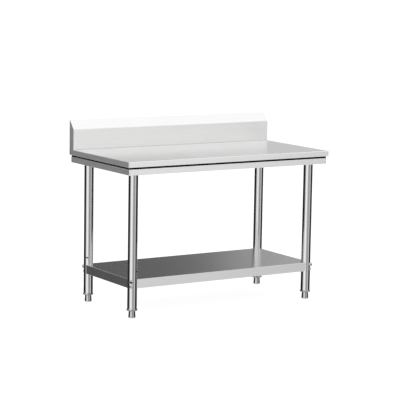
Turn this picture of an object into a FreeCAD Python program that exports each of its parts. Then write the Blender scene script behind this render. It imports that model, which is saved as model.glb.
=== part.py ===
import FreeCAD, Part
import math
import os
import Sketcher

# Stainless work table with a raised backsplash and an undershelf.
# Frame: origin on the floor below the centre of the bounding box, +X along the
# length to the right as seen from the front, +Y to the backsplash, +Z up.

V = FreeCAD.Vector
doc = FreeCAD.newDocument("work_table")
sheet = doc.addObject("Spreadsheet::Sheet", "Dims")


class Q:
    """A length: its number and the spreadsheet expression it comes from."""

    def __init__(self, value, text):
        self.v = float(value)
        self.x = text

    @staticmethod
    def of(other):
        if isinstance(other, Q):
            return other
        return Q(other, "(%s)" % repr(float(other)) if other < 0 else repr(float(other)))

    def __add__(self, o):
        o = Q.of(o)
        return Q(self.v + o.v, "(%s + %s)" % (self.x, o.x))

    def __radd__(self, o):
        return Q.of(o) + self

    def __sub__(self, o):
        o = Q.of(o)
        return Q(self.v - o.v, "(%s - %s)" % (self.x, o.x))

    def __rsub__(self, o):
        return Q.of(o) - self

    def __mul__(self, o):
        o = Q.of(o)
        return Q(self.v * o.v, "(%s * %s)" % (self.x, o.x))

    def __rmul__(self, o):
        return Q.of(o) * self

    def __truediv__(self, o):
        o = Q.of(o)
        return Q(self.v / o.v, "(%s / %s)" % (self.x, o.x))

    def __neg__(self):
        return Q(-self.v, "(0 - %s)" % self.x)


row = [0]


def cell(alias, value, note):
    row[0] += 1
    sheet.set("A%d" % row[0], note)
    sheet.set("B%d" % row[0], str(value))
    sheet.setAlias("B%d" % row[0], alias)
    return Q(value, "Dims.%s" % alias)


# ---- driving dimensions, millimetres --------------------------------------
length = cell("table_length", 1200, "length over the worktop")
depth = cell("table_depth", 614, "depth over worktop and backsplash")
top_h = cell("worktop_height", 790, "worktop surface above floor, feet screwed in")
lip = cell("worktop_lip", 28.5, "height of the worktop's front and side lips")
t_top = cell("worktop_gauge", 1.2, "sheet thickness of worktop and rails")
lip_ret = cell("lip_return", 20, "return flange of the worktop lips")
bs_t = cell("splash_depth", 44, "backsplash box depth")
bs_face = cell("splash_face", 105, "vertical face of the backsplash")
bs_h = cell("splash_height", 155.1, "backsplash above the worktop")
notch = cell("rear_notch", 14, "side lips stop short of the rear plane")
corner_r = cell("corner_radius", 5.2, "radius of the vertical front corners")
fold_r = cell("fold_radius", 3.0, "outside radius of the worktop folds")
cove_r = cell("splash_cove", 3, "inside corner radius between worktop and backsplash")
bend = cell("bend_inside", 1.2, "inside bend radius of folded sheet")

rail_x = cell("rail_inset_side", 9, "under-frame inset at the sides")
rail_y = cell("rail_inset_front", 8, "under-frame inset at the front")
rail_top = cell("rail_gap", 38, "worktop surface down to the under-frame")
rail_d = cell("rail_depth", 30, "height of the under-frame rails")
rail_w = cell("rail_flange", 35, "flange width of the under-frame rails")

stif_w = cell("stiffener_crown", 44, "crown width of the hat channels")
stif_f = cell("stiffener_flange", 16, "flange width of the hat channels")
stif_x = cell("stiffener_pitch", 390, "spacing of the hat channels")
cross_x = cell("cross_rail_offset", 195, "cross rails off centre")

leg_x = cell("leg_offset_side", 527, "leg axis off centre along X")
leg_yf = cell("leg_offset_front", 227, "front leg axis before the centre")
leg_yr = cell("leg_offset_rear", 229, "rear leg axis behind the centre")
leg_o = cell("leg_radius", 24, "leg tube outside radius")
leg_t = cell("leg_gauge", 1.2, "leg tube wall")
leg_b = cell("leg_bottom", 46.5, "lower end of the leg tube above floor")
leg_e = cell("leg_top", 784, "upper end of the leg tube above floor")
slot_z = cell("vent_slot_level", 234, "vent slot in the leg above floor")
slot_w = cell("vent_slot_width", 13, "vent slot width")
slot_h = cell("vent_slot_height", 6.5, "vent slot height")

shelf_z = cell("shelf_height", 196, "undershelf surface above floor")
shelf_l = cell("shelf_lip", 46.5, "undershelf lip height")
shelf_t = cell("shelf_gauge", 1.0, "undershelf sheet thickness")
shelf_ox = cell("shelf_over_side", 20, "shelf edge outside the leg axis, sides")
shelf_oy = cell("shelf_over_front", 18, "shelf edge outside the leg axis, front and rear")
shelf_r = cell("shelf_return", 14, "return flange of the shelf lips")

bolt_z = cell("shelf_bolt_level", 184, "shelf bolt above floor")
bolt_r = cell("shelf_bolt_radius", 5, "M10 shelf bolt shank radius")
rivet_z = cell("shelf_stud_level", 160.5, "locating screw above floor")
rivet_r = cell("shelf_stud_radius", 2.5, "locating screw shank radius")
head_r = cell("bolt_head_radius", 10.4, "domed socket head radius")
head_t = cell("bolt_head_height", 9, "domed socket head height")
brk_t = cell("bracket_gauge", 2, "saddle bracket thickness")

sock_t = cell("socket_wall", 3, "leg socket wall")
sock_g = cell("socket_clearance", 0.15, "radial gap between leg and socket")
sock_lo = cell("socket_bottom", 725, "lower end of the leg socket")
sock_hi = cell("socket_top", 786, "upper end of the leg socket")
sock_pl = cell("socket_plate", 104, "side of the socket plate")
sock_in = cell("socket_plate_inset", 6, "socket plate inside the rails, clear of the corner welds")
grub_z = cell("grub_screw_level", 737, "grub screw above floor")

foot_h = cell("foot_height", 36, "cup foot height, screwed in")
foot_rt = cell("foot_radius_top", 16, "cup radius at the top")
foot_rb = cell("foot_radius_low", 18, "cup radius near the floor")
foot_w = cell("foot_wall", 1.5, "cup wall")
stud_r = cell("stud_radius", 6, "M12 stud radius")
stud_g = cell("stud_clearance", 0.06, "radial running clearance of the stud")
stud_top = cell("stud_end", 72, "upper end of the stud above floor")
collar_r = cell("collar_radius", 27, "radius of the insert's flared collar")
plug_top = cell("plug_end", 76, "upper end of the insert's plug above floor")
pad_r = cell("pad_radius", 13.2, "glide pad radius")

half = length / 2
y_front = -(depth / 2)
y_rear = depth / 2
y_face = y_rear - bs_t
y_lip = y_rear - notch
z_lip = top_h - lip
z_rail = top_h - rail_top
z_rail_b = z_rail - rail_d

# shelf bolts and grub screws stand 40 degrees off the table's depth direction
TURN_X, TURN_Y = math.sin(math.radians(40.0)), math.cos(math.radians(40.0))

CORNERS = [
    ("fl", -1, -1, -leg_x, -leg_yf),
    ("fr", 1, -1, leg_x, -leg_yf),
    ("rl", -1, 1, -leg_x, leg_yr),
    ("rr", 1, 1, leg_x, leg_yr),
]

nodes = []


def keep(obj, name):
    obj.Label = name
    nodes.append((name, obj))
    return obj


# ---- helpers ---------------------------------------------------------------
def bind(obj, prop, q):
    if isinstance(q, Q):
        if "." not in prop:
            setattr(obj, prop, q.v)
        obj.setExpression(prop, q.x)
    else:
        setattr(obj, prop, q)


def place(obj, x=0, y=0, z=0, rot=None):
    x, y, z = Q.of(x), Q.of(y), Q.of(z)
    obj.Placement = FreeCAD.Placement(V(x.v, y.v, z.v), rot or FreeCAD.Rotation())
    for key, q in (("x", x), ("y", y), ("z", z)):
        if "Dims." in q.x:
            obj.setExpression("Placement.Base.%s" % key, q.x)
    return obj


def new_body(name):
    return doc.addObject("PartDesign::Body", "body_" + name)


def plane_of(body, role):
    for f in body.Origin.OriginFeatures:
        if f.Role == role:
            return f
    raise RuntimeError(role)


def sketch_on(body, name, role, offset=None):
    sk = body.newObject("Sketcher::SketchObject", name)
    sk.AttachmentSupport = (plane_of(body, role), [""])
    sk.MapMode = "FlatFace"
    if offset is not None:
        q = Q.of(offset)
        sk.AttachmentOffset = FreeCAD.Placement(V(0, 0, q.v), FreeCAD.Rotation())
        if "Dims." in q.x:
            sk.setExpression("AttachmentOffset.Base.z", q.x)
    return sk


def pin_point(sk, geo, pos, x, y):
    """Fix one sketch point by its two coordinates."""
    for kind, axis, q in (("DistanceX", -2, Q.of(x)), ("DistanceY", -1, Q.of(y))):
        if abs(q.v) < 1e-9 and "Dims." not in q.x:
            sk.addConstraint(Sketcher.Constraint("PointOnObject", geo, pos, axis))
            continue
        k = sk.addConstraint(Sketcher.Constraint(kind, -1, 1, geo, pos, q.v))
        if "Dims." in q.x:
            sk.setExpression("Constraints[%d]" % k, q.x)


def polygon(body, name, role, pts, offset=None):
    sk = sketch_on(body, name, role, offset)
    pts = [(Q.of(a), Q.of(b)) for a, b in pts]
    n = len(pts)
    lines = []
    for i in range(n):
        a, b = pts[i], pts[(i + 1) % n]
        lines.append(Part.LineSegment(V(a[0].v, a[1].v, 0), V(b[0].v, b[1].v, 0)))
    sk.addGeometry(lines, False)
    sk.addConstraint([Sketcher.Constraint("Coincident", i, 2, (i + 1) % n, 1)
                      for i in range(n)])
    for i, (a, b) in enumerate(pts):
        pin_point(sk, i, 1, a, b)
    return sk


def circles(body, name, role, items, offset=None):
    """items: (x, y, radius)."""
    sk = sketch_on(body, name, role, offset)
    for i, (x, y, r) in enumerate(items):
        x, y, r = Q.of(x), Q.of(y), Q.of(r)
        sk.addGeometry(Part.Circle(V(x.v, y.v, 0), V(0, 0, 1), r.v), False)
        pin_point(sk, i, 3, x, y)
        k = sk.addConstraint(Sketcher.Constraint("Radius", i, r.v))
        if "Dims." in r.x:
            sk.setExpression("Constraints[%d]" % k, r.x)
    return sk


def pad(body, name, sk, size, symmetric=False, reverse=False):
    f = body.newObject("PartDesign::Pad", name)
    f.Profile = sk
    bind(f, "Length", Q.of(size))
    if symmetric:
        f.SideType = "Symmetric"
    f.Reversed = reverse
    f.Refine = True
    return f


def pocket(body, name, sk, size=None, symmetric=False, reverse=False):
    f = body.newObject("PartDesign::Pocket", name)
    f.Profile = sk
    if symmetric:
        f.SideType = "Symmetric"
    if size is None:
        f.Type = "ThroughAll"
    else:
        bind(f, "Length", Q.of(size))
    f.Reversed = reverse
    return f


def turned(body, name, pts):
    """Revolve a closed (radius, height) outline about the body's Z axis."""
    sk = polygon(body, "outline_" + name, "XZ_Plane", pts)
    f = body.newObject("PartDesign::Revolution", "turn_" + name)
    f.Profile = sk
    f.ReferenceAxis = (sk, ["V_Axis"])
    f.Angle = 360
    return f


def round_edges(body, name, radius, test):
    """Fillet the straight edges of the tip that pass the test."""
    doc.recompute()
    tip = body.Tip
    picked = []
    for i, e in enumerate(tip.Shape.Edges):
        if len(e.Vertexes) != 2 or not isinstance(e.Curve, Part.Line):
            continue
        if test(e.Vertexes[0].Point, e.Vertexes[1].Point):
            picked.append("Edge%d" % (i + 1))
    if not picked:
        raise RuntimeError("no edge for " + name)
    f = body.newObject("PartDesign::Fillet", name)
    f.Base = (tip, picked)
    bind(f, "Radius", radius)
    f.Refine = True
    doc.recompute()
    if "Invalid" in f.State or f.Shape.isNull():
        raise RuntimeError("fillet failed " + name)
    return f


def along(axis, points):
    """Edges parallel to axis (0 X, 1 Y, 2 Z) through (u, w) of the other two."""
    others = [i for i in range(3) if i != axis]
    want = [(Q.of(a).v, Q.of(b).v) for a, b in points]

    def test(p, q):
        if abs(p[others[0]] - q[others[0]]) > 1e-4 or abs(p[others[1]] - q[others[1]]) > 1e-4:
            return False
        return any(abs(p[others[0]] - a) < 1e-3 and abs(p[others[1]] - b) < 1e-3
                   for a, b in want)
    return test


def either(*tests):
    return lambda p, q: any(t(p, q) for t in tests)


def offset_path(pts, t, side):
    """The sheet's second face: each corner of an open path moved by t."""
    pts = [(Q.of(a), Q.of(b)) for a, b in pts]
    normals = []
    for a, b in zip(pts[:-1], pts[1:]):
        dx, dy = b[0] - a[0], b[1] - a[1]
        if abs(dx.v) < 1e-9:
            s = 1.0 if dy.v > 0 else -1.0
            normals.append((Q.of(-s * side), Q.of(0.0)))
        elif abs(dy.v) < 1e-9:
            s = 1.0 if dx.v > 0 else -1.0
            normals.append((Q.of(0.0), Q.of(s * side)))
        else:
            ln = Q(math.hypot(dx.v, dy.v), "sqrt(%s * %s + %s * %s)" % (dx.x, dx.x, dy.x, dy.x))
            normals.append((-(dy / ln) * side, (dx / ln) * side))
    out = []
    for i, p in enumerate(pts):
        if i == 0 or i == len(pts) - 1:
            n = normals[0 if i == 0 else -1]
            out.append((p[0] + n[0] * t, p[1] + n[1] * t))
            continue
        a, b = normals[i - 1], normals[i]
        k = a[0] * b[0] + a[1] * b[1] + 1.0
        out.append((p[0] + (a[0] + b[0]) / k * t, p[1] + (a[1] + b[1]) / k * t))
    return out


def folded(body, name, role, path, t, side, size, offset=None, symmetric=False, reverse=False):
    inner = offset_path(path, t, side)
    sk = polygon(body, "section_" + name, role, list(path) + inner[::-1], offset)
    return pad(body, "fold_" + name, sk, size, symmetric, reverse), inner


# ---- worktop with integral backsplash -------------------------------------
top = new_body("worktop_sheet")
outer = [
    (y_front + lip_ret, z_lip),
    (y_front, z_lip),
    (y_front, top_h),
    (y_face, top_h),
    (y_face, top_h + bs_face),
    (y_rear, top_h + bs_h),
    (y_rear, z_lip),
    (y_rear - lip_ret, z_lip),
]
_, inner = folded(top, "worktop", "YZ_Plane", outer, t_top, -1, length, symmetric=True)
side_path = lambda s: [
    (s * (half - lip_ret), z_lip),
    (s * half, z_lip),
    (s * half, top_h - t_top / 2),
]
for s, tag in ((-1, "left"), (1, "right")):
    path = side_path(s)
    inn = offset_path(path, t_top, -s * -1 if s < 0 else 1)
    pts = list(path) + inn[::-1]
    sk = polygon(top, "section_lip_" + tag, "XZ_Plane", pts, y_lip * -1)
    pad(top, "fold_lip_" + tag, sk, depth - notch)
doc.recompute()
z_t = top_h + bs_h
y_seat = y_face.v - 1
flat = along(1, [(-half, top_h), (half, top_h), (-half, z_lip), (half, z_lip)])
round_edges(top, "bend_ridge_inside", bend, along(0, [inner[5]]))
front_in = y_front + t_top
round_edges(top, "corner_inside", corner_r - t_top, along(2, [(-half + t_top, front_in), (half - t_top, front_in)]))
round_edges(top, "corner_outside", corner_r, along(2, [(-half, y_front), (half, y_front)]))
for s, tag in ((-1, "left"), (1, "right")):
    sk = polygon(top, "relief_" + tag, "XY_Plane",
                 [(s * (half - 6), y_lip), (s * (half + 1), y_lip),
                  (s * (half + 1), y_rear - fold_r - 0.5), (s * (half - 6), y_rear - fold_r - 0.5)], z_lip - 1)
    pocket(top, "cut_relief_" + tag, sk, t_top + 1.5, reverse=True)
round_edges(top, "bend_ridge", bend + t_top, along(0, [(y_rear, z_t)]))
round_edges(top, "bend_rear", fold_r, along(0, [(y_rear, z_lip)]))
round_edges(top, "bend_rim", fold_r, either(
    along(0, [(y_front, top_h)]),
    lambda p, q: flat(p, q) and p.z > top_h.v - 1 and min(p.y, q.y) < y_seat,
))
round_edges(top, "bend_lip", fold_r, either(
    along(0, [(y_front, z_lip)]),
    lambda p, q: flat(p, q) and p.z < top_h.v - 1 and min(p.y, q.y) < y_seat,
))
round_edges(top, "bend_splash", fold_r, along(0, [(y_face, top_h + bs_face)]))
# rounded inside corner where the backsplash folds up
cove = [(y_face + 0.5, top_h - 0.5), (y_face - cove_r, top_h - 0.5), (y_face - cove_r, top_h)]
for k in range(1, 6):
    a = math.radians(15 * k)
    cove.append((y_face - cove_r * (1 - math.sin(a)), top_h + cove_r * (1 - math.cos(a))))
cove += [(y_face, top_h + cove_r), (y_face + 0.5, top_h + cove_r)]
sk = polygon(top, "section_cove", "YZ_Plane", cove)
pad(top, "fold_cove", sk, length - fold_r * 2, symmetric=True)
keep(top, "worktop_sheet")

# closing plates of the backsplash, set flush into both ends
gap = 0.05
slant = Q(math.hypot(bs_t.v, (bs_h - bs_face).v), "sqrt(Dims.splash_depth * Dims.splash_depth + (Dims.splash_height - Dims.splash_face) * (Dims.splash_height - Dims.splash_face))")
run = bs_t / (bs_h - bs_face)
bev = slant / (bs_h - bs_face) * (t_top + gap)
cap_top = bs_h - 9.4
cap_path = [
    (y_face + t_top + gap, top_h + 0.2),
    (y_face + t_top + gap, top_h + bs_face - 1.5),
    (y_face + run * (cap_top - bs_face) + bev, top_h + cap_top),
    (y_rear - t_top - gap, top_h + cap_top),
    (y_rear - t_top - gap, top_h + 0.2),
]
for s, tag in ((-1, "left"), (1, "right")):
    cap = new_body("backsplash_end_cap_" + tag)
    bx = (half - t_top) if s > 0 else -half
    sk = polygon(cap, "outline_cap_" + tag, "YZ_Plane", cap_path, bx)
    pad(cap, "plate_cap_" + tag, sk, t_top)
    keep(cap, "backsplash_end_cap_" + tag)

# ---- hat channels under the worktop ---------------------------------------
z_under = top_h - t_top
for i, tag in ((-1, "left"), (0, "centre"), (1, "right")):
    hat = new_body("top_stiffener_" + tag)
    cx = stif_x * i if i else Q.of(0.0)
    hw = stif_w / 2
    path = [
        (cx - hw - stif_f, z_under),
        (cx - hw, z_under),
        (cx - hw, z_rail),
        (cx + hw, z_rail),
        (cx + hw, z_under),
        (cx + hw + stif_f, z_under),
    ]
    inn = [
        (cx + hw + stif_f, z_under - t_top),
        (cx + hw + t_top, z_under - t_top),
    ]
    pts = [
        (cx - hw - stif_f, z_under),
        (cx - hw + t_top, z_under),
        (cx - hw + t_top, z_rail + t_top),
        (cx + hw - t_top, z_rail + t_top),
        (cx + hw - t_top, z_under),
        (cx + hw + stif_f, z_under),
        (cx + hw + stif_f, z_under - t_top),
        (cx + hw, z_under - t_top),
        (cx + hw, z_rail),
        (cx - hw, z_rail),
        (cx - hw, z_under - t_top),
        (cx - hw - stif_f, z_under - t_top),
    ]
    y_a = y_front + lip_ret + 2
    y_b = y_rear - lip_ret - 2
    sk = polygon(hat, "section_hat_" + tag, "XZ_Plane", pts, -y_b)
    pad(hat, "fold_hat_" + tag, sk, y_b - y_a)
    holes = circles(hat, "bolt_holes_" + tag, "XY_Plane",
                    [(cx, y_front + 34, 3.3), (cx, y_rear - 29, 3.3)], z_rail - 1)
    pocket(hat, "drill_hat_" + tag, holes, 4, reverse=True)
    keep(hat, "top_stiffener_" + tag)

# ---- under-frame: mitred channels, the second band below the worktop ------
rx = half - rail_x
ry_f = y_front + rail_y
ry_r = y_rear


def channel(o, s):
    """C section with its web at o, flanges towards s."""
    return [
        (o, z_rail_b), (o, z_rail), (o + rail_w * s, z_rail),
        (o + rail_w * s, z_rail - t_top), (o + t_top * s, z_rail - t_top),
        (o + t_top * s, z_rail_b + t_top), (o + rail_w * s, z_rail_b + t_top),
        (o + rail_w * s, z_rail_b),
    ]


big = 60


def corner_weld(rail, tag, e, o, s, lengthwise):
    """Weld in the angle between two webs, and the rounded outside of the corner."""
    cr = corner_r - 0.2
    ix, iy = rx * e - t_top * e, o + t_top * s
    leg = 4.4
    if lengthwise:
        tri = [(ix, iy), (ix - leg * e, iy), (ix - leg / 2 * e, iy + leg / 2 * s)]
    else:
        tri = [(ix, iy), (ix, iy + leg * s), (ix - leg / 2 * e, iy + leg / 2 * s)]
    sk = polygon(rail, "weld_" + tag, "XY_Plane", tri, z_rail_b + t_top)
    pad(rail, "weld_bead_" + tag, sk, rail_d - t_top * 2)
    pts = [(rx * e + e, o - s)]
    steps = range(0, 10) if lengthwise else range(9, 19)
    for k in steps:
        a = math.radians(5 * k)
        pts.append((rx * e - cr * (1 - math.sin(a)) * e, o + cr * (1 - math.cos(a)) * s))
    if lengthwise:
        pts = [(rx * e + e, o - s), (rx * e - cr * e, o - s)] + pts[1:]
        pts.append((rx * e + e, o + (cr * (1 - math.cos(math.radians(45)))) * s))
    else:
        pts = [(rx * e + e, o - s), (rx * e - cr * (1 - math.sin(math.radians(45))) * e, o - s)] + pts[1:]
        pts.append((rx * e + e, o + cr * s))
    sk = polygon(rail, "round_" + tag, "XY_Plane", pts, z_rail_b - 5)
    pocket(rail, "round_cut_" + tag, sk, 60, reverse=True)


for tag, o, s in (("front", ry_f, 1), ("rear", ry_r, -1)):
    rail = new_body("frame_%s_rail" % tag)
    sk = polygon(rail, "section_" + tag, "YZ_Plane", channel(o, s))
    pad(rail, "fold_" + tag, sk, rx * 2, symmetric=True)
    for e, side in ((-1, "left"), (1, "right")):
        tri = polygon(rail, "mitre_%s_%s" % (tag, side), "XY_Plane",
                      [(rx * e, o), (rx * e + big * -e, o + big * s), (rx * e + 5 * e, o + big * s),
                       (rx * e + 5 * e, o)], z_rail_b - 5)
        pocket(rail, "cut_%s_%s" % (tag, side), tri, 60, reverse=True)
    for e, side in ((-1, "left"), (1, "right")):
        corner_weld(rail, tag + "_" + side, e, o, s, True)
    holes = circles(rail, "bolt_holes_" + tag, "XY_Plane",
                    [(stif_x * i if i else 0, (y_front + 34) if s > 0 else (y_rear - 29), 3.3)
                     for i in (-1, 0, 1)], z_rail - 4)
    pocket(rail, "drill_" + tag, holes, 8, reverse=True)
    round_edges(rail, "bend_" + tag, bend + t_top, along(0, [(o, z_rail), (o, z_rail_b)]))
    keep(rail, "frame_%s_rail" % tag)

for tag, e in (("left", -1), ("right", 1)):
    rail = new_body("frame_%s_rail" % tag)
    sk = polygon(rail, "section_" + tag, "XZ_Plane", channel(rx * e, -e), -ry_r)
    pad(rail, "fold_" + tag, sk, ry_r - ry_f)
    for o, s, side in ((ry_f, 1, "front"), (ry_r, -1, "rear")):
        tri = polygon(rail, "mitre_%s_%s" % (tag, side), "XY_Plane",
                      [(rx * e, o), (rx * e + big * -e, o + big * s), (rx * e + big * -e, o + 5 * -s),
                       (rx * e, o + 5 * -s)], z_rail_b - 5)
        pocket(rail, "cut_%s_%s" % (tag, side), tri, 60, reverse=True)
    for o, s, side in ((ry_f, 1, "front"), (ry_r, -1, "rear")):
        corner_weld(rail, tag + "_" + side, e, o, s, False)
    round_edges(rail, "bend_" + tag, bend + t_top, along(1, [(rx * e, z_rail), (rx * e, z_rail_b)]))
    keep(rail, "frame_%s_rail" % tag)

# ---- rubber strips between the worktop's return flanges and the frame ------
sx_a = rx - 9.5
sx_b = rx - 1.5
strips = [
    ("front", -sx_b, ry_f + 1.5, sx_b * 2, Q.of(8.0)),
    ("rear", -sx_b, y_rear - 13, sx_b * 2, Q.of(9.0)),
    ("left", -sx_b, ry_f + 9.6, Q.of(8.0), y_rear - 13.1 - (ry_f + 9.6)),
    ("right", sx_a, ry_f + 9.6, Q.of(8.0), y_rear - 13.1 - (ry_f + 9.6)),
]
for tag, px, py, lx_, ly_ in strips:
    strip = new_body("spacer_strip_" + tag)
    pts = [(px, py), (px + lx_, py), (px + lx_, py + ly_), (px, py + ly_)]
    sk = polygon(strip, "outline_strip_" + tag, "XY_Plane", pts, z_rail)
    pad(strip, "strip_" + tag, sk, z_lip - z_rail)
    keep(strip, "spacer_strip_" + tag)

for tag, e in (("left", -1), ("right", 1)):
    cross = new_body("frame_cross_rail_" + tag)
    cx = cross_x * e
    lo, hi = z_rail_b + t_top, z_rail - t_top
    pts = [
        (cx - 20, lo), (cx - 20, hi), (cx + 20, hi), (cx + 20, hi - t_top),
        (cx - 20 + t_top, hi - t_top), (cx - 20 + t_top, lo + t_top),
        (cx + 20, lo + t_top), (cx + 20, lo),
    ]
    sk = polygon(cross, "section_cross_" + tag, "XZ_Plane", pts, -(ry_r - t_top))
    pad(cross, "fold_cross_" + tag, sk, ry_r - ry_f - t_top * 2)
    keep(cross, "frame_cross_rail_" + tag)


# ---- bolts and nuts between worktop stiffeners and frame -------------------
def cylinder(name, r, tall, x=0, y=0, z=0, rot=None):
    c = doc.addObject("Part::Cylinder", name)
    bind(c, "Radius", Q.of(r))
    bind(c, "Height", Q.of(tall))
    place(c, x, y, z, rot)
    return c


def prism(name, sides, r, tall, x=0, y=0, z=0, rot=None):
    c = doc.addObject("Part::Prism", name)
    c.Polygon = sides
    bind(c, "Circumradius", Q.of(r))
    bind(c, "Height", Q.of(tall))
    place(c, x, y, z, rot)
    return c


def boolean(kind, name, base, tool):
    f = doc.addObject("Part::" + kind, name)
    f.Base = base
    f.Tool = tool
    return f


def group(name, members):
    f = doc.addObject("Part::Compound", name)
    f.Links = members
    return keep(f, name)


bolts, nuts = [], []
for i in (-1, 0, 1):
    for tag, y in (("f", y_front + 34), ("r", y_rear - 29)):
        key = "%s%d" % (tag, i + 1)
        x = stif_x * i if i else 0
        head = prism("bolt_head_" + key, 6, 5.77, 4, x, y, z_rail - t_top - 4)
        shank = cylinder("bolt_shank_" + key, 3, 12.6, x, y, z_rail - t_top - 1)
        bolts.append(boolean("Fuse", "frame_bolt_" + key, head, shank))
        nut = prism("nut_body_" + key, 6, 5.77, 5, x, y, z_rail + t_top)
        hole = cylinder("nut_bore_" + key, 3.05, 7, x, y, z_rail + t_top - 1)
        nuts.append(boolean("Cut", "frame_nut_" + key, nut, hole))
group("frame_bolts", bolts)
group("frame_nuts", nuts)

# ---- leg sockets, grub screws and legs ------------------------------------
grubs = []
for tag, sx, sy, lx, ly in CORNERS:
    px = (rx - sock_in - sock_pl) if sx > 0 else -(rx - sock_in)
    py = (ry_f + sock_in) if sy < 0 else (ry_r - sock_in - sock_pl)
    plate = doc.addObject("Part::Box", "plate_" + tag)
    bind(plate, "Length", sock_pl)
    bind(plate, "Width", sock_pl)
    bind(plate, "Height", sock_t)
    place(plate, px, py, z_rail - t_top - sock_t)
    sleeve = cylinder("sleeve_" + tag, leg_o + sock_g + sock_t, sock_hi - sock_lo, lx, ly, sock_lo)
    body = boolean("Fuse", "socket_blank_" + tag, plate, sleeve)
    bore = cylinder("socket_bore_" + tag, leg_o + sock_g, sock_hi - sock_lo + 4, lx, ly, sock_lo - 2)
    body = boolean("Cut", "socket_bored_" + tag, body, bore)
    ang = math.degrees(math.atan2(-sy * TURN_Y, -sx * TURN_X))
    inward = FreeCAD.Rotation(V(0, 0, 1), ang).multiply(FreeCAD.Rotation(V(0, 1, 0), 90))
    tap = cylinder("socket_tap_" + tag, 4.05, 40, lx, ly, grub_z, inward)
    socket = boolean("Cut", "socket_" + tag, body, tap)
    keep(socket, "leg_socket_" + tag)

    c, s = math.cos(math.radians(ang)), math.sin(math.radians(ang))
    screw = cylinder("grub_body_" + tag, 4, 11, lx + leg_o * c, ly + leg_o * s, grub_z, inward)
    hexa = prism("grub_hex_" + tag, 6, 2.3, 5, lx + (leg_o + 7) * c, ly + (leg_o + 7) * s, grub_z, inward)
    grubs.append(boolean("Cut", "grub_" + tag, screw, hexa))

    tube = cylinder("tube_" + tag, leg_o, leg_e - leg_b, lx, ly, leg_b)
    hollow = cylinder("tube_bore_" + tag, leg_o - leg_t, leg_e - leg_b + 4, lx, ly, leg_b - 2)
    tube = boolean("Cut", "tube_open_" + tag, tube, hollow)
    # shelf bolt and locating screw run along the outward diagonal
    across = cylinder("tube_bolt_hole_" + tag, bolt_r + 0.3, 80,
                      lx - 40 * c, ly - 40 * s, bolt_z, inward)
    tube = boolean("Cut", "tube_drilled_" + tag, tube, across)
    pin = cylinder("tube_screw_hole_" + tag, rivet_r + 0.2, 80,
                   lx - 40 * c, ly - 40 * s, rivet_z, inward)
    tube = boolean("Cut", "tube_pinned_" + tag, tube, pin)
    # vent slot: a quarter turn anticlockwise from the outward diagonal
    va = math.degrees(math.atan2(sy, sx)) + 90
    vc, vs = math.cos(math.radians(va)), math.sin(math.radians(va))
    vent = FreeCAD.Rotation(V(0, 0, 1), va).multiply(FreeCAD.Rotation(V(0, 1, 0), 90))
    off = (slot_w - slot_h) / 2
    parts = []
    for k in (-1, 1):
        parts.append(cylinder("vent_end_%s_%d" % (tag, k + 1), slot_h / 2, 40,
                              lx - off * (k * vs), ly + off * (k * vc), slot_z, vent))
    mid = doc.addObject("Part::Box", "vent_mid_" + tag)
    bind(mid, "Length", slot_h)
    bind(mid, "Width", off * 2)
    mid.Height = 40
    # the box's X becomes -Z after the turn, so its corner sits half a slot up
    place(mid, lx + off * vs, ly - off * vc, slot_z + slot_h / 2, vent)
    parts.append(mid)
    slot = doc.addObject("Part::MultiFuse", "vent_slot_" + tag)
    slot.Shapes = parts
    tube = boolean("Cut", "tube_vented_" + tag, tube, slot)
    keep(tube, "leg_" + tag)
group("socket_grub_screws", grubs)

# ---- undershelf ------------------------------------------------------------
sx_o = leg_x + shelf_ox
sy_f = -(leg_yf + shelf_oy)
sy_r = leg_yr + shelf_oy
z_sl = shelf_z - shelf_l
shelf = new_body("undershelf_sheet")
path = [
    (sy_f + shelf_r, z_sl), (sy_f, z_sl), (sy_f, shelf_z),
    (sy_r, shelf_z), (sy_r, z_sl), (sy_r - shelf_r, z_sl),
]
folded(shelf, "shelf", "YZ_Plane", path, shelf_t, -1, sx_o * 2, symmetric=True)
for s, tag in ((-1, "left"), (1, "right")):
    pts = [
        (sx_o * s - shelf_r * s, z_sl), (sx_o * s, z_sl), (sx_o * s, shelf_z - shelf_t / 2),
        (sx_o * s - shelf_t * s, shelf_z - shelf_t / 2), (sx_o * s - shelf_t * s, z_sl + shelf_t),
        (sx_o * s - shelf_r * s, z_sl + shelf_t),
    ]
    sk = polygon(shelf, "section_shelf_" + tag, "XZ_Plane", pts, -sy_r)
    pad(shelf, "fold_shelf_" + tag, sk, sy_r - sy_f)
round_edges(shelf, "bend_shelf", bend + shelf_t, either(
    along(0, [(sy_f, shelf_z), (sy_f, z_sl), (sy_r, shelf_z), (sy_r, z_sl)]),
    along(1, [(-sx_o, shelf_z), (sx_o, shelf_z), (-sx_o, z_sl), (sx_o, z_sl)]),
))
notch_r = leg_o + 0.3
rounds = circles(shelf, "leg_notches", "XY_Plane",
                 [(lx, ly, notch_r) for _, _, _, lx, ly in CORNERS], z_sl - 5)
pocket(shelf, "cut_notches", rounds, 60, reverse=True)
for tag, sx, sy, lx, ly in CORNERS:
    sk = polygon(shelf, "corner_" + tag, "XY_Plane",
                 [(lx, ly), (lx + 30 * sx, ly), (lx + 30 * sx, ly + 30 * sy), (lx, ly + 30 * sy)], z_sl - 5)
    pocket(shelf, "cut_corner_" + tag, sk, 60, reverse=True)
keep(shelf, "undershelf_sheet")

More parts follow.
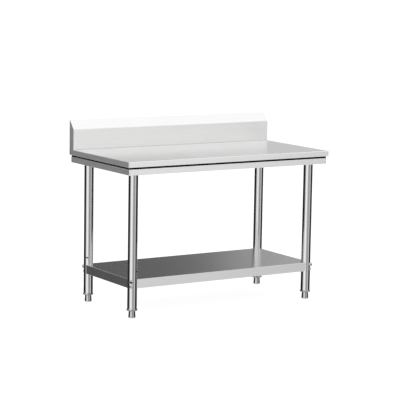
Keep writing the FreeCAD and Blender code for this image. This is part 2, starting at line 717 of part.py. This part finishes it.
stif = new_body("undershelf_stiffener")
zc = shelf_z - shelf_t
mid_y = (leg_yr - leg_yf) / 2
hw = Q.of(35.0)
zb = zc - 28
pts = [
    (mid_y - hw - 15, zc), (mid_y - hw + shelf_t, zc), (mid_y - hw + shelf_t, zb + shelf_t),
    (mid_y + hw - shelf_t, zb + shelf_t), (mid_y + hw - shelf_t, zc), (mid_y + hw + 15, zc),
    (mid_y + hw + 15, zc - shelf_t), (mid_y + hw, zc - shelf_t), (mid_y + hw, zb),
    (mid_y - hw, zb), (mid_y - hw, zc - shelf_t), (mid_y - hw - 15, zc - shelf_t),
]
sk = polygon(stif, "section_shelf_hat", "YZ_Plane", pts)
pad(stif, "fold_shelf_hat", sk, (sx_o - shelf_t - 0.1) * 2, symmetric=True)
keep(stif, "undershelf_stiffener")

# ---- saddle brackets, shelf bolts, washers, nuts, locating screws ----------
shelf_bolts, washers, shelf_nuts, pins = [], [], [], []
r_in = leg_o + 0.3
for tag, sx, sy, lx, ly in CORNERS:
    ang = math.degrees(math.atan2(-sy * TURN_Y, -sx * TURN_X))
    c, s = math.cos(math.radians(ang)), math.sin(math.radians(ang))
    inward = FreeCAD.Rotation(V(0, 0, 1), ang).multiply(FreeCAD.Rotation(V(0, 1, 0), 90))
    tall = shelf_l - shelf_t * 2 - 2
    ring = cylinder("saddle_ring_" + tag, r_in + brk_t, tall, lx, ly, z_sl + shelf_t + 1)
    bore = cylinder("saddle_bore_" + tag, r_in, tall + 4, lx, ly, z_sl + shelf_t - 1)
    ring = boolean("Cut", "saddle_open_" + tag, ring, bore)
    zone = doc.addObject("Part::Box", "saddle_zone_" + tag)
    bind(zone, "Length", Q.of(60.0))
    bind(zone, "Width", Q.of(60.0))
    bind(zone, "Height", tall + 4)
    ox = shelf_ox - shelf_t
    oy = shelf_oy - shelf_t
    place(zone, (lx - ox) if sx < 0 else (lx + ox - 60), (ly - oy) if sy < 0 else (ly + oy - 60),
          z_sl + shelf_t - 1)
    saddle = boolean("Common", "saddle_" + tag, ring, zone)
    tip_box = doc.addObject("Part::Box", "saddle_tip_" + tag)
    bind(tip_box, "Length", Q.of(40.0))
    bind(tip_box, "Width", Q.of(40.0))
    bind(tip_box, "Height", tall + 8)
    place(tip_box, lx if sx > 0 else lx - 40, ly if sy > 0 else ly - 40, z_sl + shelf_t - 3)
    saddle = boolean("Cut", "saddle_trim_" + tag, saddle, tip_box)
    h1 = cylinder("saddle_hole_" + tag, bolt_r + 0.3, 20, lx + 20 * c, ly + 20 * s, bolt_z, inward)
    saddle = boolean("Cut", "saddle_drilled_" + tag, saddle, h1)
    h2 = cylinder("saddle_pin_hole_" + tag, rivet_r + 0.1, 20, lx + 20 * c, ly + 20 * s, rivet_z, inward)
    saddle = boolean("Cut", "saddle_done_" + tag, saddle, h2)
    keep(saddle, "shelf_bracket_" + tag)

    # the bolt's own axis runs outward to inward, zero at the outer washer face
    def at(d, z):
        q = Q.of(d)
        return lx + q * c, ly + q * s, z

    base = leg_o + 1.2
    ball_r = (head_r * head_r + head_t * head_t) / (head_t * 2)
    x0, y0, z0 = at(-base + (ball_r - head_t), bolt_z)
    ball = doc.addObject("Part::Sphere", "head_ball_" + tag)
    bind(ball, "Radius", ball_r)
    place(ball, x0, y0, z0, inward)
    x0, y0, z0 = at(-(base + head_t), bolt_z)
    slab = cylinder("head_slab_" + tag, head_r, head_t, x0, y0, z0, inward)
    head = boolean("Common", "head_" + tag, ball, slab)
    x0, y0, z0 = at(-base - 0.5, bolt_z)
    shank = cylinder("shank_" + tag, bolt_r, base + r_in + brk_t + 12, x0, y0, z0, inward)
    blt = boolean("Fuse", "bolt_blank_" + tag, head, shank)
    x0, y0, z0 = at(-(base + head_t + 1), bolt_z)
    key = prism("bolt_key_" + tag, 6, 5.2, 6.6, x0, y0, z0, inward)
    shelf_bolts.append(boolean("Cut", "shelf_bolt_" + tag, blt, key))

    # shaped washer: flat outside, hollowed to the tube inside
    x0, y0, z0 = at(-base, bolt_z)
    disc = cylinder("washer_disc_" + tag, 11.4, 6, x0, y0, z0, inward)
    core = cylinder("washer_core_" + tag, leg_o + 0.02, 40, lx, ly, bolt_z - 20)
    disc = boolean("Cut", "washer_saddle_" + tag, disc, core)
    x0, y0, z0 = at(-base - 1, bolt_z)
    hole = cylinder("washer_hole_" + tag, bolt_r + 0.2, 10, x0, y0, z0, inward)
    washers.append(boolean("Cut", "shelf_washer_" + tag, disc, hole))

    x0, y0, z0 = at(r_in + brk_t, bolt_z)
    nut = prism("shelf_nut_body_" + tag, 6, 9.2, 8, x0, y0, z0, inward)
    x0, y0, z0 = at(r_in + brk_t - 1, bolt_z)
    bore = cylinder("shelf_nut_bore_" + tag, bolt_r + 0.03, 11, x0, y0, z0, inward)
    shelf_nuts.append(boolean("Cut", "shelf_nut_" + tag, nut, bore))

    # low dome-headed locating screw below the bolt
    pr, pt = 9.6, 4.6
    pb = (pr * pr + pt * pt) / (2 * pt)
    x0, y0, z0 = at(-(leg_o - 0.95) + (pb - pt), rivet_z)
    ball = doc.addObject("Part::Sphere", "dome_ball_" + tag)
    ball.Radius = pb
    place(ball, x0, y0, z0, inward)
    x0, y0, z0 = at(-(leg_o + pt), rivet_z)
    slab = cylinder("dome_slab_" + tag, pr, 8, x0, y0, z0, inward)
    dome = boolean("Common", "dome_" + tag, ball, slab)
    core = cylinder("dome_core_" + tag, leg_o + 0.02, 40, lx, ly, rivet_z - 20)
    dome = boolean("Cut", "dome_saddle_" + tag, dome, core)
    x0, y0, z0 = at(-(leg_o + 0.6), rivet_z)
    shank = cylinder("dome_shank_" + tag, rivet_r, leg_o + 0.6 + r_in + brk_t + 3, x0, y0, z0, inward)
    pins.append(boolean("Fuse", "shelf_pin_" + tag, dome, shank))
group("shelf_bolts", shelf_bolts)
group("shelf_washers", washers)
group("shelf_nuts", shelf_nuts)
group("shelf_locating_screws", pins)

# ---- levelling feet --------------------------------------------------------
for tag, sx, sy, lx, ly in CORNERS:
    ins = new_body("foot_insert_" + tag)
    bore_r = stud_r + stud_g
    low = foot_h + 0.8
    turned(ins, "insert_" + tag, [
        (bore_r, low), (leg_o - 3, low), (collar_r - 1.6, low + 1.4), (collar_r - 0.4, low + 2.4),
        (collar_r, low + 3.6), (collar_r, low + 6.6), (collar_r - 0.6, low + 7.8), (leg_o, leg_b), (leg_o - leg_t - 0.05, leg_b), (leg_o - leg_t - 0.05, plug_top - 3),
        (leg_o - leg_t - 1, plug_top), (leg_o - leg_t - 2.2, plug_top), (leg_o - leg_t - 2.2, leg_b + 4),
        (stud_r + 3.5, leg_b + 4), (stud_r + 3.5, plug_top), (bore_r, plug_top),
    ])
    place(ins, lx, ly)
    keep(ins, "foot_insert_" + tag)

    stud = new_body("foot_stud_" + tag)
    tip_r = stud_r - 1
    turned(stud, "stud_" + tag, [
        (0, 6), (tip_r - 1, 6), (tip_r, 7), (tip_r, 16.5), (stud_r, 17.5),
        (stud_r, stud_top - 1.5), (stud_r - 1.5, stud_top), (0, stud_top),
    ])
    place(stud, lx, ly)
    keep(stud, "foot_stud_" + tag)

    cup = new_body("foot_cup_" + tag)
    turned(cup, "cup_" + tag, [
        (stud_r, foot_h), (foot_rt - 0.8, foot_h), (foot_rt, foot_h - 1), (foot_rt + 0.2, foot_h - 4),
        (foot_rb, 6), (foot_rb - 0.3, 3.6), (foot_rb - 1.6, 1.6), (foot_rb - 3.2, 0.9),
        (foot_rb - 3.7, 0.9), (foot_rb - 3.7, 2.2), (foot_rb - foot_w, 6),
        (foot_rt - foot_w, foot_h - 4), (foot_rt - foot_w - 0.5, foot_h - 2), (stud_r, foot_h - 2),
    ])
    place(cup, lx, ly)
    keep(cup, "foot_cup_" + tag)

    glide = new_body("foot_pad_" + tag)
    turned(glide, "pad_" + tag, [
        (0, 0), (pad_r - 1, 0), (pad_r, 1), (pad_r, 3.5), (9, 5), (8.4, 15.8),
        (tip_r + 0.06, 15.8), (tip_r + 0.06, 5.95), (0, 5.95),
    ])
    place(glide, lx, ly)
    keep(glide, "foot_pad_" + tag)

# ---- check and export ------------------------------------------------------
doc.recompute()
bad = []
for obj in doc.Objects:
    if any(word in obj.State for word in ("Invalid", "Error")):
        bad.append("%s %s" % (obj.Name, obj.State))
for name, obj in nodes:
    shp = obj.Shape
    if shp.isNull() or not shp.isValid() or not shp.Solids:
        bad.append("%s shape" % name)
if bad:
    raise RuntimeError("; ".join(bad))
if len(nodes) != len(set(n for n, _ in nodes)) or len(nodes) > 60:
    raise RuntimeError("node names")

os.makedirs("parts", exist_ok=True)
box = FreeCAD.BoundBox()
for name, obj in nodes:
    obj.Shape.exportStep("parts/%s.step" % name)
    box.add(obj.Shape.BoundBox)
    print("%-28s solids %d  volume %10.1f mm3" % (name, len(obj.Shape.Solids), obj.Shape.Volume))
print("nodes", len(nodes))
print("box", [round(v, 3) for v in (box.XMin, box.YMin, box.ZMin, box.XMax, box.YMax, box.ZMax)])
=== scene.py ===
import math

import bpy
from mathutils import Matrix, Vector


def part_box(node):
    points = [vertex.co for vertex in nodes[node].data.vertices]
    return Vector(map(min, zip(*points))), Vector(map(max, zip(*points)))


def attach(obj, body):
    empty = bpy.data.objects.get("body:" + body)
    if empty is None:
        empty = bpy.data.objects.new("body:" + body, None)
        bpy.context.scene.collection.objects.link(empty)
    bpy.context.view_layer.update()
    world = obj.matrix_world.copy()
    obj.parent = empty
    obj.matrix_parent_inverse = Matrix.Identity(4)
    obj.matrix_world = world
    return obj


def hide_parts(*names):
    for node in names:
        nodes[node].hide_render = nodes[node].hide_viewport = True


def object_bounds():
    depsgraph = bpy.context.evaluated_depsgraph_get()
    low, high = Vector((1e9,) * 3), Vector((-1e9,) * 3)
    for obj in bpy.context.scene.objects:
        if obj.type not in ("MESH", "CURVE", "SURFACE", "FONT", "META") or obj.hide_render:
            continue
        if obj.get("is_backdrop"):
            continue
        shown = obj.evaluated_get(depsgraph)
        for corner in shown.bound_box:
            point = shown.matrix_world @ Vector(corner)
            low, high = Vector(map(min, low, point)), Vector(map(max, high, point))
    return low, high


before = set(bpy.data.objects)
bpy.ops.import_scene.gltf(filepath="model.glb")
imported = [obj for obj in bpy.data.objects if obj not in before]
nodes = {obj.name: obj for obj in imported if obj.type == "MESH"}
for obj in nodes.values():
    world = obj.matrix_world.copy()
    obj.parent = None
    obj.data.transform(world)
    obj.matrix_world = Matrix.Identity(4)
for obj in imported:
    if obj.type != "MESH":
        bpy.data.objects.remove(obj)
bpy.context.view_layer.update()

scene = bpy.context.scene
scene.view_settings.view_transform = "Standard"
scene.view_settings.look = "None"


# ---------------------------------------------------------------- camera ----
def set_camera():
    az, pitch, roll = (math.radians(a) for a in (32.232, 8.139, 0.954))
    fwd0 = Vector((math.sin(az), math.cos(az), 0))
    right0 = Vector((math.cos(az), -math.sin(az), 0))
    up0 = Vector((0, 0, 1))
    fwd = fwd0 * math.cos(pitch) - up0 * math.sin(pitch)
    up1 = fwd0 * math.sin(pitch) + up0 * math.cos(pitch)
    right = right0 * math.cos(roll) + up1 * math.sin(roll)
    up = up1 * math.cos(roll) - right0 * math.sin(roll)
    cam = bpy.data.cameras.new("camera")
    cam.sensor_width = 36.0
    cam.lens = 1694.123 / 400 * 36.0
    cam.clip_start = 0.1
    cam.clip_end = 200
    ob = bpy.data.objects.new("camera", cam)
    m = Matrix.Identity(4)
    for i, axis in enumerate((right, up, -fwd)):
        for k in range(3):
            m[k][i] = axis[k]
    m.translation = Vector((-4.644857, -7.373883, 1.774972))
    ob.matrix_world = m
    scene.collection.objects.link(ob)
    scene.camera = ob


set_camera()


# ------------------------------------------------------------ node helpers --
class Net:
    def __init__(self, tree):
        self.t = tree
        self.t.nodes.clear()
        self.n = 0

    def add(self, kind, **props):
        node = self.t.nodes.new(kind)
        node.location = (220 * (self.n % 9), -260 * (self.n // 9))
        self.n += 1
        for k, v in props.items():
            setattr(node, k, v)
        return node

    def link(self, a, b):
        self.t.links.new(a, b)

    def put(self, socket, value):
        if hasattr(value, "is_output"):
            self.t.links.new(value, socket)
        else:
            socket.default_value = value

    def math(self, op, a, b=0.0, c=0.0, clamp=False):
        n = self.add("ShaderNodeMath", operation=op, use_clamp=clamp)
        for s, v in zip(n.inputs, (a, b, c)):
            self.put(s, v)
        return n.outputs[0]

    def ramp(self, fac, stops, mode="LINEAR"):
        n = self.add("ShaderNodeValToRGB")
        self.put(n.inputs[0], fac)
        cr = n.color_ramp
        cr.interpolation = mode
        while len(cr.elements) < len(stops):
            cr.elements.new(0.5)
        for e, (p, v) in zip(cr.elements, stops):
            e.position = p
            col = v if isinstance(v, tuple) else (v, v, v)
            e.color = (col[0], col[1], col[2], 1)
        return n.outputs[0]

    def mix(self, fac, a, b, blend="MIX"):
        n = self.add("ShaderNodeMix", data_type="RGBA", blend_type=blend)
        self.put(n.inputs[0], fac)
        for s, v in ((n.inputs[6], a), (n.inputs[7], b)):
            if not hasattr(v, "is_output") and not isinstance(v, (tuple, list)):
                v = (v, v, v, 1)
            elif isinstance(v, (tuple, list)) and len(v) == 3:
                v = (*v, 1)
            self.put(s, v)
        return n.outputs[2]

    def mixf(self, fac, a, b):
        n = self.add("ShaderNodeMix", data_type="FLOAT")
        self.put(n.inputs[0], fac)
        self.put(n.inputs[2], a)
        self.put(n.inputs[3], b)
        return n.outputs[0]


# ------------------------------------------------------- studio surround ----
def studio():
    world = bpy.data.worlds.new("studio")
    scene.world = world
    world.use_nodes = True
    g = Net(world.node_tree)
    co = g.add("ShaderNodeTexCoord").outputs["Generated"]
    sep = g.add("ShaderNodeSeparateXYZ")
    g.link(co, sep.inputs[0])
    x, y, z = sep.outputs
    # compass angle of the direction, 0 towards +Y, growing towards +X, as 0..1 from -180 to 180
    ang = g.math("ARCTAN2", x, y)
    frac = g.math("MULTIPLY_ADD", ang, 1 / (2 * math.pi), 0.5)
    d = lambda deg: (deg + 180) / 360.0
    # at and just below eye level: soft boxes left and right of the camera, dark flags behind
    belt = g.ramp(frac, [
        (d(-180), 0.37), (d(-165), 0.38), (d(-154), 0.58), (d(-142), 0.85), (d(-131), 1.08), (d(-119), 1.12),
        (d(-107), 1.05), (d(-94), 0.80), (d(-84), 0.40), (d(-74), 0.06), (d(-66), 0.02), (d(42), 0.02),
        (d(52), 0.08), (d(82), 0.08), (d(92), 0.02), (d(137), 0.04), (d(143.5), 0.70), (d(149), 0.90),
        (d(156), 0.68), (d(166), 0.42), (d(180), 0.37)])
    # just above eye level: a pale card behind on the right, dark on the left
    card = g.ramp(frac, [
        (d(-180), 0.80), (d(-150), 0.85), (d(-84), 1.15), (d(-70), 0.30), (d(-30), 0.12),
        (d(28), 0.07), (d(32.2), 0.10), (d(32.9), 0.18), (d(33.4), 0.22), (d(34.2), 0.42), (d(110), 0.50), (d(135), 0.75), (d(148), 0.85), (d(180), 0.80)])
    over = g.ramp(frac, [
        (d(-180), 1.30), (d(-40), 1.40), (d(0), 1.00), (d(22), 0.45), (d(31), 0.45),
        (d(36), 0.95), (d(60), 0.95), (d(110), 1.15), (d(150), 1.20), (d(180), 1.30)])
    env = g.mix(g.ramp(z, [(0.0, 0.0), (0.06, 1.0)]), belt, card)
    env = g.mix(g.ramp(z, [(0.0, 0.0), (0.38, 0.0), (0.60, 1.0)]), env, over)
    # the ceiling itself is dimmer than the soft boxes round it
    env = g.mix(g.ramp(z, [(0.0, 0.0), (0.955, 0.0), (0.995, 1.0)]), env, 0.85)
    # below the horizon the pale floor's light takes over
    low = g.ramp(g.math("MULTIPLY", z, -1.0), [(0.0, 0.0), (0.35, 0.0), (0.75, 1.0)])
    env = g.mix(low, env, 0.85)
    bg = g.add("ShaderNodeBackground")
    g.link(env, bg.inputs[0])
    bg.inputs[1].default_value = 1.0
    white = g.add("ShaderNodeBackground")
    white.inputs[0].default_value = (1, 1, 1, 1)
    white.inputs[1].default_value = 1.0
    lp = g.add("ShaderNodeLightPath")
    mixer = g.add("ShaderNodeMixShader")
    g.link(lp.outputs["Is Camera Ray"], mixer.inputs[0])
    g.link(bg.outputs[0], mixer.inputs[1])
    g.link(white.outputs[0], mixer.inputs[2])
    out = g.add("ShaderNodeOutputWorld")
    g.link(mixer.outputs[0], out.inputs[0])

    # pale floor
    mesh = bpy.data.meshes.new("studio_floor")
    r = 60.0
    mesh.from_pydata([(-r, -r, 0), (r, -r, 0), (r, r, 0), (-r, r, 0)], [], [(0, 1, 2, 3)])
    floor = bpy.data.objects.new("studio_floor", mesh)
    floor.location.z = -0.0005
    scene.collection.objects.link(floor)
    mat = bpy.data.materials.new("pale_floor")
    mat.use_nodes = True
    f = Net(mat.node_tree)
    b = f.add("ShaderNodeBsdfPrincipled")
    b.inputs["Base Color"].default_value = (0.25, 0.25, 0.25, 1)
    b.inputs["Roughness"].default_value = 0.9
    b.inputs["Specular IOR Level"].default_value = 0.0
    b.inputs["Emission Color"].default_value = (1, 1, 1, 1)
    b.inputs["Emission Strength"].default_value = 0.90
    o = f.add("ShaderNodeOutputMaterial")
    f.link(b.outputs[0], o.inputs[0])
    mesh.materials.append(mat)
    floor.visible_glossy = False
    floor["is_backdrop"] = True


studio()


# --------------------------------------------------------------- materials --
GRAIN = {"x": (5, 1500, 1500), "y": (1500, 5, 1500), "z": (1500, 1500, 5), "ring": (60, 60, 1600),
         "tube": (420, 420, 0.9)}


def steel(name, base=(0.90, 0.90, 0.895), rough=0.30, metal=0.80, grain="x", tangent=None, aniso=0.0,
          lines=0.5, smudge=0.06, bump=0.02, scratch=0.0, detail=3.0):
    mat = bpy.data.materials.new(name)
    mat.use_nodes = True
    g = Net(mat.node_tree)
    co = g.add("ShaderNodeTexCoord").outputs["Object"]

    def noise(scale, detail=3.0, rotate=None, size=1.0):
        mp = g.add("ShaderNodeMapping")
        g.link(co, mp.inputs[0])
        mp.inputs["Scale"].default_value = scale
        if rotate:
            mp.inputs["Rotation"].default_value = rotate
        n = g.add("ShaderNodeTexNoise")
        g.link(mp.outputs[0], n.inputs["Vector"])
        n.inputs["Scale"].default_value = size
        n.inputs["Detail"].default_value = detail
        n.inputs["Roughness"].default_value = 0.6
        return n.outputs["Fac"]

    h = noise(GRAIN[grain], detail)
    broad = noise(tuple(v * 0.12 if v > 100 else v * 0.5 for v in GRAIN[grain]), min(detail, 2.0))
    c = noise((6, 6, 6), 4.0)
    b = g.add("ShaderNodeBsdfPrincipled")
    b.inputs["Metallic"].default_value = metal
    tone = g.ramp(h, [(0.30, tuple(v * (1 - 0.10 * lines) for v in base)),
                      (0.70, tuple(min(1, v * (1 + 0.06 * lines)) for v in base))])
    tone = g.mix(g.ramp(broad, [(0.35, 0.0), (0.65, 0.10 * lines)]), tone, tuple(v * 0.72 for v in base))
    if scratch:
        for k, turn in enumerate(((0, 0, 0.5), (0, 0, -0.9), (0.4, 0.3, 1.7))):
            sc = noise((9, 700, 700), 1.0, turn)
            mark = g.ramp(sc, [(0.0, 0.0), (0.715, 0.0), (0.735, scratch), (1.0, scratch)])
            tone = g.mix(mark, tone, tuple(min(1, v * 1.12) for v in base))
    g.link(tone, b.inputs["Base Color"])
    rr = g.math("MULTIPLY_ADD", g.math("SUBTRACT", h, 0.5), 0.16 * lines, rough)
    rr = g.math("MULTIPLY_ADD", g.math("SUBTRACT", c, 0.5), smudge, rr)
    g.link(rr, b.inputs["Roughness"])
    if tangent:
        tn = g.add("ShaderNodeTangent", direction_type="RADIAL", axis=tangent)
        g.link(tn.outputs[0], b.inputs["Tangent"])
        b.inputs["Anisotropic"].default_value = aniso
    if bump:
        bp = g.add("ShaderNodeBump")
        bp.inputs["Strength"].default_value = bump * 10
        bp.inputs["Distance"].default_value = 0.00003
        g.link(h, bp.inputs["Height"])
        g.link(bp.outputs[0], b.inputs["Normal"])
    o = g.add("ShaderNodeOutputMaterial")
    g.link(b.outputs[0], o.inputs[0])
    return mat


def matte(name, dark, light, rough, scale, bump=0.3, metal=0.0, spec=0.5):
    mat = bpy.data.materials.new(name)
    mat.use_nodes = True
    g = Net(mat.node_tree)
    co = g.add("ShaderNodeTexCoord").outputs["Object"]
    n = g.add("ShaderNodeTexNoise")
    g.link(co, n.inputs["Vector"])
    n.inputs["Scale"].default_value = scale
    n.inputs["Detail"].default_value = 3
    b = g.add("ShaderNodeBsdfPrincipled")
    b.inputs["Metallic"].default_value = metal
    b.inputs["Specular IOR Level"].default_value = spec
    g.link(g.ramp(n.outputs["Fac"], [(0.3, dark), (0.7, light)]), b.inputs["Base Color"])
    g.link(g.math("MULTIPLY_ADD", n.outputs["Fac"], 0.2, rough - 0.1), b.inputs["Roughness"])
    bp = g.add("ShaderNodeBump")
    bp.inputs["Strength"].default_value = bump
    bp.inputs["Distance"].default_value = 0.00008
    g.link(n.outputs["Fac"], bp.inputs["Height"])
    g.link(bp.outputs[0], b.inputs["Normal"])
    o = g.add("ShaderNodeOutputMaterial")
    g.link(b.outputs[0], o.inputs[0])
    return mat


# the tangent points across the grain, so that reflections smear across the brush lines
SHEET = dict(rough=0.31, aniso=0.70)
M = {
    "top": steel("sheet_steel_flat", grain="x", tangent="X", scratch=0.30, **SHEET),
    "front": steel("sheet_steel_front", grain="x", tangent="X", **SHEET),
    "side": steel("sheet_steel_side", grain="y", tangent="Y", **SHEET),
    # darker steel along the cove where the backsplash meets the worktop: painted shade in the crease
    "seam": steel("sheet_steel_cove_painted_shade", base=(0.62, 0.62, 0.62), grain="x", tangent="X", **SHEET),
    # near-black painted shade for the relief cuts that look into the hollow backsplash
    "notch": steel("sheet_steel_notch_painted_shade", base=(0.03, 0.03, 0.03), rough=0.6, metal=0.3, grain="z", lines=0.7),
    "inside": steel("sheet_steel_inside", base=(0.42, 0.42, 0.41), grain="x", rough=0.45, metal=0.7, lines=0.7),
    # the shelf is the same steel as the worktop, given darker base colours as painted shade under the worktop, with
    # the side lips darker still
    "shelf_top": steel("shelf_steel_flat_painted_shade", base=(0.72, 0.72, 0.72), metal=0.94, grain="x", tangent="X", scratch=0.22,
                       lines=0.3, rough=0.20, aniso=0.6, smudge=0.03, bump=0.008),
    "shelf_front": steel("shelf_steel_front_painted_shade", base=(0.76, 0.76, 0.77), grain="x", tangent="X", **SHEET),
    "shelf_side": steel("shelf_steel_side_painted_shade", base=(0.62, 0.62, 0.615), metal=0.92, grain="y", tangent="Y", **SHEET),
    "tube": steel("tube_steel", base=(0.78, 0.78, 0.775), rough=0.11, metal=1.0, grain="tube", lines=0.35, smudge=0.03, bump=0.0, detail=1.0),
    # near-black painted shade for the inside of the leg tubes, seen through their openings
    "tube_in": steel("tube_steel_inside_painted_shade", base=(0.02, 0.02, 0.02), rough=0.6, metal=0.2, grain="z", lines=0.6),
    "collar": steel("collar_steel", base=(0.42, 0.42, 0.41), rough=0.10, metal=1.0, grain="ring", lines=0.5, bump=0.002),
    "foot": steel("foot_steel", base=(0.60, 0.60, 0.59), rough=0.10, metal=1.0, grain="ring", lines=0.6, bump=0.002),
    "fastener": steel("fastener_steel", base=(0.48, 0.48, 0.47), rough=0.13, metal=1.0, grain="ring", lines=0.4, bump=0.004),
    # near-black painted shade for the recess in the bolt heads
    "recess": steel("fastener_steel_recess_painted_shade", base=(0.03, 0.03, 0.03), rough=0.6, metal=0.3, grain="ring", lines=0.6),
    "hidden": steel("hidden_steel", base=(0.50, 0.50, 0.49), rough=0.42, metal=0.8, grain="x", lines=0.7),
    "nylon": matte("glide_nylon", (0.02, 0.02, 0.021), (0.035, 0.035, 0.036), 0.5, 900),
    # black rubber of the spacer strips, made blacker than rubber and without specular: partly the strip's own
    # colour, partly painted shade for the gap under the worktop
    "rubber": matte("strip_rubber", (0.002, 0.002, 0.002), (0.006, 0.006, 0.006), 0.9, 1400, 0.6, spec=0.0),
}


def dress(node, *names):
    me = nodes[node].data
    me.materials.clear()
    for n in names:
        me.materials.append(M[n])
    return me


def by_face(node, names, pick):
    """Give each polygon the material that pick(centre, normal) names."""
    me = dress(node, *names)
    for p in me.polygons:
        p.material_index = names.index(pick(p.center, p.normal))


LEGS = {}
for tag in ("fl", "fr", "rl", "rr"):
    lo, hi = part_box("leg_" + tag)
    LEGS[tag] = ((lo[0] + hi[0]) / 2, (lo[1] + hi[1]) / 2, (hi[0] - lo[0]) / 2)

top_lo, top_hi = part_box("worktop_sheet")
shelf_lo, shelf_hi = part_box("undershelf_sheet")
TOP_Z = 0.790
TURN_X, TURN_Y = math.sin(math.radians(40.0)), math.cos(math.radians(40.0))
LIP_Z = top_lo[2]
FACE_Y = top_hi[1] - 0.044


def worktop_face(c, n):
    # the relief cuts behind the side lips look into the hollow backsplash; their faces get near-black steel as
    # painted shade for the dark hollow
    if c.y > top_hi[1] - 0.0145 and abs(c.x) > top_hi[0] - 0.012 and c.z < TOP_Z - 0.0005 and n.y < 0.5:
        return "notch"
    under = n.z < -0.5 and c.z < TOP_Z and c.z > LIP_Z + 0.004
    inner = LIP_Z + 0.002 < c.z < TOP_Z - 0.002 and abs(c.x) < top_hi[0] - 0.0009 and top_lo[1] + 0.0009 < c.y < top_hi[1] - 0.0009
    if under or inner:
        return "inside"
    if abs(n.x) > 0.71:
        return "side"
    # the cove at the foot of the backsplash gets the darker steel as painted shade
    if c.y > FACE_Y - 0.0032 and TOP_Z + 0.00002 < c.z < TOP_Z + 0.0032 and n.z > 0.05 and n.y < -0.05:
        return "seam"
    if abs(n.z) > 0.71:
        return "top"
    return "front"


def shelf_face(c, n):
    if n.z < -0.5 and c.z > shelf_lo[2] + 0.01:
        return "inside"
    if abs(n.x) > 0.71:
        return "shelf_side"
    if abs(n.z) > 0.71:
        return "shelf_top"
    return "shelf_front"


for n in nodes:
    if n == "worktop_sheet":
        by_face(n, ["top", "front", "side", "inside", "seam", "notch"], worktop_face)
    elif n == "undershelf_sheet":
        by_face(n, ["shelf_top", "shelf_front", "shelf_side", "inside"], shelf_face)
    elif n.startswith("backsplash_end"):
        dress(n, "side")
    elif n.startswith(("frame_front", "frame_rear")):
        dress(n, "front")
    elif n.startswith(("frame_left", "frame_right")):
        dress(n, "side")
    elif n.startswith(("leg_socket", "socket_", "top_stiff", "undershelf_stiff", "shelf_bracket", "frame_cross")):
        dress(n, "hidden")
    elif n.startswith("spacer_strip"):
        dress(n, "rubber")
    elif n.startswith("leg_"):
        ax, ay, rad = LEGS[n[4:]]
        # faces inside the tube bore get the near-black painted shade
        by_face(n, ["tube", "tube_in"],
                lambda c, m: "tube" if math.hypot(c.x - ax, c.y - ay) > rad - 0.0006 else "tube_in")
    elif n.startswith("foot_pad"):
        dress(n, "nylon")
    elif n.startswith("foot_insert"):
        dress(n, "collar")
    elif n.startswith("foot_cup"):
        dress(n, "foot")
    elif n == "shelf_bolts":
        def bolt_face(c, m):
            tag = ("f" if c.y < 0 else "r") + ("l" if c.x < 0 else "r")
            ax, ay, rad = LEGS[tag]
            sx, sy = (-1 if c.x < 0 else 1) * TURN_X, (-1 if c.y < 0 else 1) * TURN_Y
            out = (c.x - ax) * sx + (c.y - ay) * sy
            off = math.hypot((c.x - ax) * sy - (c.y - ay) * sx, c.z - BOLT_Z)
            # faces in the bolt heads' recess get the near-black painted shade
            deep = out > rad + 0.001 and off < 0.0053 and (out < rad + 0.0095 or (m.x * sx + m.y * sy) < 0.5)
            return "recess" if deep else "fastener"
        b_lo, b_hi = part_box("shelf_bolts")
        BOLT_Z = (b_lo[2] + b_hi[2]) / 2
        by_face(n, ["fastener", "recess"], bolt_face)
    elif n.startswith(("foot_stud", "frame_bolts", "frame_nuts", "shelf_washers", "shelf_nuts", "shelf_locating")):
        dress(n, "fastener")
    else:
        dress(n, "front")


# ------------------------------------------------------------- threaded stud --
def stud(tag):
    """The levelling stud with its real thread, in place of the plain rod."""
    ax, ay, _ = LEGS[tag]
    lo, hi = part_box("foot_stud_" + tag)
    outer = (hi[0] - lo[0]) / 2
    pitch, deep, sides = 0.00175, 0.00095, 40
    z0, z1 = lo[2] + 0.0125, hi[2] - 0.0004
    rings = int(round((z1 - z0) / (pitch / 8)))
    verts, faces = [], []
    rows = [(lo[2], outer - 0.002), (lo[2] + 0.001, outer - 0.001), (z0 - 0.0012, outer - 0.001)]
    for z, r in rows:
        for k in range(sides):
            a = 2 * math.pi * k / sides
            verts.append((ax + r * math.cos(a), ay + r * math.sin(a), z))
    for i in range(rings + 1):
        z = z0 + (z1 - z0) * i / rings
        for k in range(sides):
            a = 2 * math.pi * k / sides
            f = ((z - z0) / pitch - k / sides) % 1.0
            v = min(1.0, max(0.0, abs(2 * f - 1) * 1.3 - 0.12))
            fade = min(1.0, (z - z0) / 0.0012, (z1 - z) / 0.0015)
            r = outer - 0.00004 - deep * (1 - v * max(0.0, fade))
            verts.append((ax + r * math.cos(a), ay + r * math.sin(a), z))
    total = len(rows) + rings + 1
    for i in range(total - 1):
        for k in range(sides):
            j = (k + 1) % sides
            faces.append((i * sides + k, i * sides + j, (i + 1) * sides + j, (i + 1) * sides + k))
    faces.append(tuple(range(sides))[::-1])
    faces.append(tuple((total - 1) * sides + k for k in range(sides)))
    me = bpy.data.meshes.new("levelling_stud_" + tag)
    me.from_pydata(verts, [], faces)
    me.validate()
    me.materials.append(M["fastener"])
    for p in me.polygons:
        p.use_smooth = len(p.vertices) == 4
    ob = bpy.data.objects.new("levelling_stud_" + tag, me)
    scene.collection.objects.link(ob)
    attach(ob, "foot_" + tag)
    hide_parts("foot_stud_" + tag)


for tag in LEGS:
    stud(tag)

lo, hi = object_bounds()
